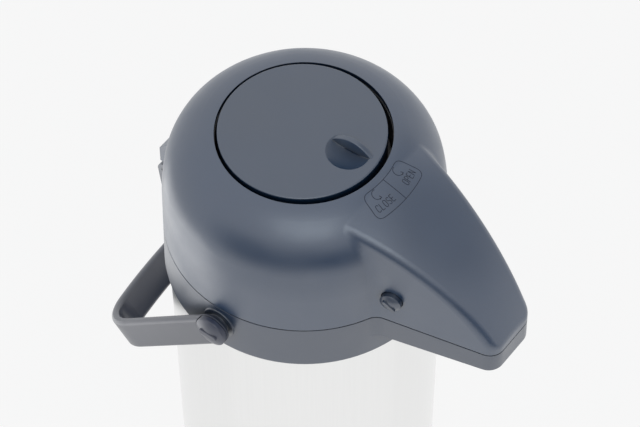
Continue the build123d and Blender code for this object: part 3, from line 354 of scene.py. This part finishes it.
def letter_strokes(letter):
    """The strokes of one capital in a box one wide and one high."""
    bowl = 0.28
    top, low = arc((0.5, 1 - bowl), (0.5, bowl), 180, 0), arc((0.5, bowl), (0.5, bowl), 0, -180)
    strokes = {
        "O": [[*top, *low, top[0]]],
        "C": [[*arc((0.5, 1 - bowl), (0.5, bowl), 15, 180), *arc((0.5, bowl), (0.5, bowl), 180, 345)]],
        "P": [[(0, 0), (0, 1), *arc((0.55, 0.75), (0.45, 0.25), 90, -90), (0, 0.5)]],
        "E": [[(1, 1), (0, 1), (0, 0), (1, 0)], [(0, 0.5), (0.85, 0.5)]],
        "N": [[(0, 0), (0, 1), (1, 0), (1, 1)]],
        "L": [[(0, 1), (0, 0), (0.9, 0)]],
        "S": [[*arc((0.5, 0.75), (0.5, 0.25), 20, 270), *arc((0.5, 0.25), (0.5, 0.25), 90, -160)]],
    }
    return strokes[letter]


def on_ring(radius, angle, along, up):
    """A plan point beside a place on the pot's plan: along goes towards +X, up towards the axis."""
    turn = math.radians(angle) + along / radius
    reach = radius - up
    return Vector((reach * math.sin(turn), -reach * math.cos(turn)))


def word_strokes(word, angle):
    """Plan lines of a word bent round the axis, with the letters' tops towards the axis."""
    pitch = LETTER_WIDTH + LETTER_SPACE
    start = -(pitch * len(word) - LETTER_SPACE) / 2
    lines = []
    for i, letter in enumerate(word):
        for stroke in letter_strokes(letter):
            lines.append([
                on_ring(WORD_R, angle, start + i * pitch + x * LETTER_WIDTH, (y - 0.5) * LETTER_HEIGHT)
                for x, y in stroke
            ])
    return lines


def arrow_strokes(angle):
    """Plan lines of a round arrow that is open towards +X."""
    curve = arc((0, 0), (ARROW_SIZE, ARROW_SIZE), 75, 285, 22)
    tip = Vector(curve[-1])
    upper, lower = (tip + Vector(lean).normalized() * ARROW_BARB for lean in ((-0.35, 1.0), (-1.0, -0.25)))
    return [[on_ring(ARROW_R, angle, x, y) for x, y in line] for line in (curve, (upper, tip, lower))]


def panel_strokes():
    """Plan lines of the rounded panel and of the line that divides it."""
    turn_in = math.degrees(PANEL_CORNER / PANEL_R_IN)
    turn_out = math.degrees(PANEL_CORNER / PANEL_R_OUT)
    outline = []
    for side in (1, -1):
        half = side * PANEL_HALF_ANGLE
        inner_turns = steps_between(0, PANEL_HALF_ANGLE - turn_in, 10)
        outer_turns = steps_between(PANEL_HALF_ANGLE - turn_out, 0, 10)
        inner = [on_ring(PANEL_R_IN, side * turn, 0, 0) for turn in inner_turns]
        outer = [on_ring(PANEL_R_OUT, side * turn, 0, 0) for turn in outer_turns]
        side_start = on_ring(PANEL_R_IN + PANEL_CORNER, half, 0, 0)
        side_end = on_ring(PANEL_R_OUT - PANEL_CORNER, half, 0, 0)
        corner_in = bend_points(inner[-1], on_ring(PANEL_R_IN, half, 0, 0), side_start)
        corner_out = bend_points(side_end, on_ring(PANEL_R_OUT, half, 0, 0), outer[0])
        outline.append([*inner, *corner_in, *corner_out, *outer])
    divider = [on_ring(r, 0, 0, 0) for r in steps_between(PANEL_R_IN, PANEL_R_OUT, 12)]
    return [*outline, divider]


def steps_between(first, last, count):
    """Even steps from the first number to the last."""
    return [first + (last - first) * i / count for i in range(count + 1)]


def bend_points(start, corner, end, count=8):
    """A rounded corner from start to end, drawn towards the corner point."""
    return [
        start.lerp(corner, t).lerp(corner.lerp(end, t), t)
        for t in steps_between(0.0, 1.0, count)
    ]


def resampled(line, step):
    """The line with extra points, so that it follows a curved surface."""
    points = [Vector(line[0])]
    for end in map(Vector, line[1:]):
        start = points[-1]
        count = max(1, math.ceil((end - start).length / step))
        points += [start.lerp(end, i / count) for i in range(1, count + 1) if (end - start).length > 1e-7]
    return points


def surface_of(node):
    """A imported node's mesh, ready for rays."""
    mesh = nodes_by_name[node].data
    return BVHTree.FromPolygons([v.co for v in mesh.vertices], [p.vertices for p in mesh.polygons])


def laid_strips(name, lines, node, body, width, material):
    """Thin strips that follow plan lines over a node's upper surface."""
    surface = surface_of(node)
    mesh = bmesh.new()
    for line in lines:
        points = resampled(line, MARK_STEP)
        hits = [surface.ray_cast(Vector((p.x, p.y, 1.0)), Vector((0, 0, -1))) for p in points]
        places, normals = [h[0] for h in hits], [h[1] for h in hits]
        rings = []
        for i, (place, normal) in enumerate(zip(places, normals)):
            ahead = places[min(i + 1, len(places) - 1)] - places[max(i - 1, 0)]
            aside = ahead.cross(normal).normalized() * width / 2
            high, low = normal * MARK_PROUD, -normal * MARK_SUNK
            corners = (place - aside + low, place - aside + high, place + aside + high, place + aside + low)
            rings.append([mesh.verts.new(c) for c in corners])
        for first, second in zip(rings, rings[1:]):
            for i in range(4):
                j = (i + 1) % 4
                mesh.faces.new((first[i], first[j], second[j], second[i]))
        mesh.faces.new(rings[0][::-1])
        mesh.faces.new(rings[-1])
    bmesh.ops.recalc_face_normals(mesh, faces=mesh.faces)
    return piece_from(name, mesh, body, material)


def piece_from(name, mesh, body, material):
    """An object from a bmesh, with its material, slot and body."""
    data = bpy.data.meshes.new(name)
    mesh.to_mesh(data)
    mesh.free()
    data.materials.append(material)
    piece = bpy.data.objects.new(name, data)
    bpy.context.scene.collection.objects.link(piece)
    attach(piece, body)
    return piece


def make_marks():
    """The words, arrows and panel on the spout's top."""
    ink = moulded_plastic("mark_finish", INK_GREY, 0.60, 0.4 * MM, 0.01 * MM, wear_and_edge_highlight=0.0, shine=0.2)
    groups = {
        "mark_panel": panel_strokes(),
        "mark_open_word": word_strokes("OPEN", OPEN_ANGLE),
        "mark_close_word": word_strokes("CLOSE", CLOSE_ANGLE),
        "mark_open_arrow": arrow_strokes(OPEN_ANGLE),
        "mark_close_arrow": arrow_strokes(CLOSE_ANGLE),
    }
    for name, lines in groups.items():
        laid_strips(name, lines, "lid_cover", "lid", MARK_LINE, ink)


make_marks()

# Bellows and its spring, between the well's floor and the carrier
PUMP_LOW = 298.5 * MM
PUMP_HIGH = 340.0 * MM
BELLOWS_R_OUT = 38.0 * MM
BELLOWS_FOLD = 6.0 * MM
BELLOWS_WALL = 1.2 * MM
BELLOWS_FOLDS = 5
BELLOWS_SIDES = 96
SPRING_R = 14.0 * MM
SPRING_WIRE_R = 1.0 * MM
SPRING_TURNS = 6
SPRING_CLOSING = 0.045


def skinned(rings, closed):
    """A bmesh skin over rings of points, joined end to end or capped."""
    mesh = bmesh.new()
    rows = [[mesh.verts.new(point) for point in ring] for ring in rings]
    pairs = list(zip(rows, rows[1:])) + ([(rows[-1], rows[0])] if closed else [])
    for first, second in pairs:
        for i in range(len(first)):
            j = (i + 1) % len(first)
            mesh.faces.new((first[i], first[j], second[j], second[i]))
    if not closed:
        mesh.faces.new(rows[0][::-1])
        mesh.faces.new(rows[-1])
    bmesh.ops.recalc_face_normals(mesh, faces=mesh.faces)
    for face in mesh.faces:
        face.smooth = True
    return mesh


def make_bellows():
    """The rubber bellows with round folds, turned about the pot's axis."""
    steps = 12 * BELLOWS_FOLDS
    outside = []
    for t in steps_between(0.0, 1.0, steps):
        depth = BELLOWS_FOLD * (1 - math.cos(2 * math.pi * BELLOWS_FOLDS * t)) / 2
        outside.append((BELLOWS_R_OUT - depth, PUMP_LOW + t * (PUMP_HIGH - PUMP_LOW)))
    inside = [(radius - BELLOWS_WALL, z) for radius, z in reversed(outside)]
    rings = []
    for turn in steps_between(0.0, 2 * math.pi, BELLOWS_SIDES)[:-1]:
        rings.append([(r * math.cos(turn), r * math.sin(turn), z) for r, z in (*outside, *inside)])
    squashed_piece("bellows_skin", skinned(rings, True), "bellows", "bellows_rubber")


def make_spring():
    """The coil spring inside the bellows, with its last turns wound close."""
    low, high = PUMP_LOW + SPRING_WIRE_R, PUMP_HIGH - SPRING_WIRE_R
    rings = []
    for t in steps_between(0.0, 1.0, 40 * SPRING_TURNS):
        turn = 2 * math.pi * SPRING_TURNS * t
        rise = t - SPRING_CLOSING * math.sin(4 * math.pi * t)
        outward = Vector((math.cos(turn), math.sin(turn), 0))
        centre = outward * SPRING_R + Vector((0, 0, low + rise * (high - low)))
        around = [2 * math.pi * i / 10 for i in range(10)]
        rings.append([
            centre + (outward * math.cos(a) + Vector((0, 0, math.sin(a)))) * SPRING_WIRE_R for a in around
        ])
    squashed_piece("bellows_coil", skinned(rings, False), "bellows_spring", "spring_steel")


def squashed_piece(name, mesh, node, slot):
    """A piece in place of a soft node, which it hides, attached to the lid's body with a mesh of its own.
    """
    piece = piece_from(name, mesh, "lid", finishes[slot])
    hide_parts(node)
    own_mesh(piece)


make_bellows()
make_spring()


def make_camera():
    """The photograph's camera, aimed from its fitted angles, distance and shift."""
    right = Vector((math.cos(math.radians(VIEW_AZIMUTH)), math.sin(math.radians(VIEW_AZIMUTH)), 0))
    back = turned(VIEW_AZIMUTH, VIEW_ELEVATION)
    up = back.cross(right)
    roll = math.radians(VIEW_ROLL)
    place = Vector((0, 0, SEAM_HEIGHT)) + right * AIM_RIGHT + up * AIM_UP + back * VIEW_DISTANCE
    rolled_right = right * math.cos(roll) + up * math.sin(roll)
    rolled_up = back.cross(rolled_right)
    camera = bpy.data.objects.new("camera", bpy.data.cameras.new("camera"))
    camera.data.lens = VIEW_LENS
    camera.data.sensor_width = VIEW_SENSOR
    camera.data.sensor_fit = "HORIZONTAL"
    camera.data.clip_end = VIEW_CLIP_END
    turn = Matrix((rolled_right, rolled_up, back)).transposed().to_4x4()
    camera.matrix_world = Matrix.Translation(place) @ turn
    bpy.context.scene.collection.objects.link(camera)
    bpy.context.scene.camera = camera


def softbox(name, settings):
    """A square lamp aimed at the head."""
    azimuth, elevation, distance, size, power, colour = settings
    lamp = bpy.data.objects.new(name, bpy.data.lights.new(name, "AREA"))
    lamp.data.shape = "SQUARE"
    lamp.data.size = size
    lamp.data.energy = power
    lamp.data.color = colour
    towards = turned(VIEW_AZIMUTH + azimuth, elevation)
    lamp.location = HEAD_CENTRE + towards * distance
    lamp.rotation_mode = "QUATERNION"
    lamp.rotation_quaternion = towards.to_track_quat("Z", "Y")
    lamp.visible_camera = False
    bpy.context.scene.collection.objects.link(lamp)
    return lamp


def kept_for(lamp, nodes):
    """Lets a lamp reach some nodes only, so that it doesn't burn out the bright steel or the floor."""
    group = bpy.data.collections.new(lamp.name + "_reach")
    for node in nodes:
        group.objects.link(nodes_by_name[node])
    lamp.light_linking.receiver_collection = group


def counted(tree, operation, first, second):
    """The result of a math node over two sockets or numbers."""
    node = tree.nodes.new("ShaderNodeMath")
    node.operation = operation
    for i, value in enumerate((first, second)):
        if isinstance(value, bpy.types.NodeSocket):
            tree.links.new(value, node.inputs[i])
        else:
            node.inputs[i].default_value = value
    return node.outputs["Value"]


def seen_directly(tree):
    """One for camera, glossy and transmission rays and zero for the rays that carry light."""
    path = tree.nodes.new("ShaderNodeLightPath").outputs
    mirrored = counted(tree, "MAXIMUM", path["Is Glossy Ray"], path["Is Transmission Ray"])
    return counted(tree, "MAXIMUM", path["Is Camera Ray"], mirrored)


def wall_shade(tree):
    """The studio walls' brightness by direction: one, and less in each grey patch."""
    place = tree.nodes.new("ShaderNodeTexCoord").outputs["Generated"]
    shade = 1.0
    for azimuth, elevation, inner, outer, depth in WALL_PATCHES:
        dot = tree.nodes.new("ShaderNodeVectorMath")
        dot.operation = "DOT_PRODUCT"
        dot.inputs[1].default_value = turned(VIEW_AZIMUTH + azimuth, elevation)
        tree.links.new(place, dot.inputs[0])
        patch = tree.nodes.new("ShaderNodeMapRange")
        patch.interpolation_type = "SMOOTHSTEP"
        patch.inputs["From Min"].default_value = math.cos(math.radians(outer))
        patch.inputs["From Max"].default_value = math.cos(math.radians(inner))
        patch.inputs["To Min"].default_value = 1.0
        patch.inputs["To Max"].default_value = 1.0 - depth
        tree.links.new(dot.outputs["Value"], patch.inputs["Value"])
        shade = counted(tree, "MULTIPLY", patch.outputs["Result"], shade)
    return shade


def make_world():
    """Even light for the object, with plain walls to the camera and shaded ones in gloss."""
    world = bpy.data.worlds.new("studio")
    world.use_nodes = True
    bpy.context.scene.world = world
    tree = world.node_tree
    nodes, links = tree.nodes, tree.links
    lighting = nodes["Background"]
    lighting.inputs["Color"].default_value = (*WORLD_TINT, 1.0)
    lighting.inputs["Strength"].default_value = WORLD_LIGHT
    seen = nodes.new("ShaderNodeBackground")
    seen.inputs["Color"].default_value = (SEEN_WHITE, SEEN_WHITE, SEEN_WHITE, 1.0)
    by_camera = nodes.new("ShaderNodeLightPath").outputs["Is Camera Ray"]
    to_camera = counted(tree, "MULTIPLY", by_camera, WALL_BEHIND)
    in_gloss = counted(tree, "MULTIPLY", counted(tree, "SUBTRACT", 1.0, by_camera), wall_shade(tree))
    links.new(counted(tree, "ADD", to_camera, in_gloss), seen.inputs["Strength"])
    mix = nodes.new("ShaderNodeMixShader")
    links.new(seen_directly(tree), mix.inputs["Fac"])
    links.new(lighting.outputs["Background"], mix.inputs[1])
    links.new(seen.outputs["Background"], mix.inputs[2])
    links.new(mix.outputs["Shader"], nodes["World Output"].inputs["Surface"])


def make_floor():
    """A pale floor that looks even to the camera and still keeps the object's shadow."""
    material = bpy.data.materials.new("floor_finish")
    material.use_nodes = True
    tree = material.node_tree
    nodes, links = tree.nodes, tree.links
    paint = nodes["Principled BSDF"]
    paint.inputs["Base Color"].default_value = (FLOOR_WHITE, FLOOR_WHITE, FLOOR_WHITE, 1.0)
    paint.inputs["Roughness"].default_value = FLOOR_ROUGH
    glow = nodes.new("ShaderNodeEmission")
    glow.inputs["Color"].default_value = (SEEN_WHITE, SEEN_WHITE, SEEN_WHITE, 1.0)
    glossy = nodes.new("ShaderNodeLightPath").outputs["Is Glossy Ray"]
    raised = counted(tree, "MULTIPLY", glossy, FLOOR_GLOSS_GAIN)
    links.new(counted(tree, "ADD", raised, 1.0), glow.inputs["Strength"])
    mix = nodes.new("ShaderNodeMixShader")
    links.new(counted(tree, "MULTIPLY", seen_directly(tree), FLOOR_SEEN_SHARE), mix.inputs["Fac"])
    links.new(paint.outputs["BSDF"], mix.inputs[1])
    links.new(glow.outputs["Emission"], mix.inputs[2])
    links.new(mix.outputs["Shader"], nodes["Material Output"].inputs["Surface"])
    half = FLOOR_SIZE / 2
    data = bpy.data.meshes.new("floor")
    corners = [(-half, -half, 0), (half, -half, 0), (half, half, 0), (-half, half, 0)]
    data.from_pydata(corners, [], [(0, 1, 2, 3)])
    data.materials.append(material)
    floor = bpy.data.objects.new("floor", data)
    bpy.context.scene.collection.objects.link(floor)


make_camera()
make_world()
make_floor()
softbox("lamp_front", LAMP_FRONT)
kept_for(softbox("lamp_low", LAMP_LOW), LAMP_LOW_REACH)

bpy.context.scene.view_settings.view_transform = "Standard"
